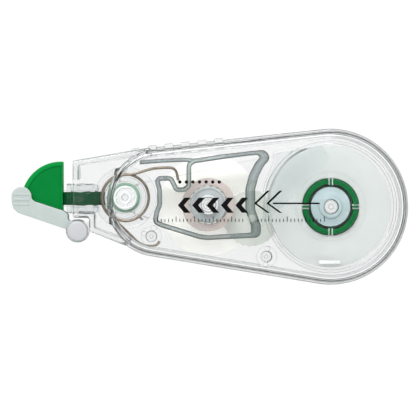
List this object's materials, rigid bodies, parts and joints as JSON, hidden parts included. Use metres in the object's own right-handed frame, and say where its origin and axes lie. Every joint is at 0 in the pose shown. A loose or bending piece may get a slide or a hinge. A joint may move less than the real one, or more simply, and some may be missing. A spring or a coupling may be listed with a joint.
{
  "type": "correction tape roller",
  "caption": "Side-pull correction tape roller with a clear teardrop case, a supply reel, a sprung green tape head and a swing guard over the tip.",
  "frame": {"origin": "middle of the footprint, on the face that the roller rests on", "axes": "+X from the tip to the reel end, +Y across towards the ribbed edge, +Z through the thickness to the front face"},
  "size_m": [0.097, 0.0382, 0.016],
  "materials": {
    "clear_plastic": "clear moulded polystyrene",
    "tinted_plastic": "clear plastic that shows teal at its edges",
    "smoke_plastic": "pale grey-green translucent plastic",
    "green_plastic": "smooth",
    "pale_green_plastic": "smooth",
    "grey_plastic": "satin",
    "blue_grey_plastic": "smooth",
    "cream_plastic": "satin",
    "knob_plastic": "smooth",
    "white_plastic": "satin",
    "correction_tape": "edges of a wound film tape",
    "spent_tape": "edges of a wound backing film",
    "spring_steel": "drawn wire"
  },
  "bodies": {
    "case": {"back_shell": "clear_plastic", "front_shell": "clear_plastic", "inner_frame": "tinted_plastic", "pivot_hub": "clear_plastic", "head_return_spring": "spring_steel", "tape_ribbon": "correction_tape"},
    "head": {"transfer_head": "green_plastic", "head_holder": "clear_plastic", "pivot_ring": "pale_green_plastic"},
    "guard": {"guard_arm": "smoke_plastic", "guard_pin": "knob_plastic", "guard_pin_cap": "knob_plastic"},
    "supply_reel": {"supply_gear": "white_plastic", "supply_hub": "blue_grey_plastic", "supply_core": "green_plastic", "tape_roll": "correction_tape", "supply_front_flange": "clear_plastic"},
    "idler": {"idler_gear": "grey_plastic"},
    "takeup_drive": {"takeup_gear": "white_plastic", "takeup_disc": "cream_plastic"},
    "takeup_reel": {"clutch_ring": "spring_steel", "takeup_core": "white_plastic", "spent_tape_roll": "spent_tape"}
  },
  "joints": [
    {"name": "guard_hinge", "type": "hinge", "parent": "case", "child": "guard", "pos_m": [-0.0324, -0.0059, 0.008], "axis": [0, 0, 1], "range_deg": [0, 175]},
    {"name": "head_tilt", "type": "hinge", "parent": "case", "child": "head", "pos_m": [-0.0207, 0.0022, 0.012], "axis": [0, 0, 1], "range_deg": [-3, 0], "stiffness_Nm_per_rad": 0.05, "springref_deg": 2.86, "deforming": ["head_return_spring", "tape_ribbon"]},
    {"name": "supply_spin", "type": "hinge", "parent": "case", "child": "supply_reel", "pos_m": [0.0294, 0, 0.008], "axis": [0, 0, 1], "continuous": true},
    {"name": "idler_spin", "type": "hinge", "parent": "case", "child": "idler", "pos_m": [0.0101, -0.00279, 0.004], "axis": [0, 0, 1], "continuous": true},
    {"name": "takeup_spin", "type": "hinge", "parent": "case", "child": "takeup_drive", "pos_m": [-0.0004, 0.0005, 0.004], "axis": [0, 0, 1], "continuous": true},
    {"name": "clutch_slip", "type": "hinge", "parent": "takeup_drive", "child": "takeup_reel", "pos_m": [-0.0004, 0.0005, 0.008], "axis": [0, 0, 1], "continuous": true}
  ],
  "couplings": [
    {"joint": "idler_spin", "follows": "supply_spin", "ratio": -2},
    {"joint": "takeup_spin", "follows": "supply_spin", "ratio": 2.8889}
  ]
}
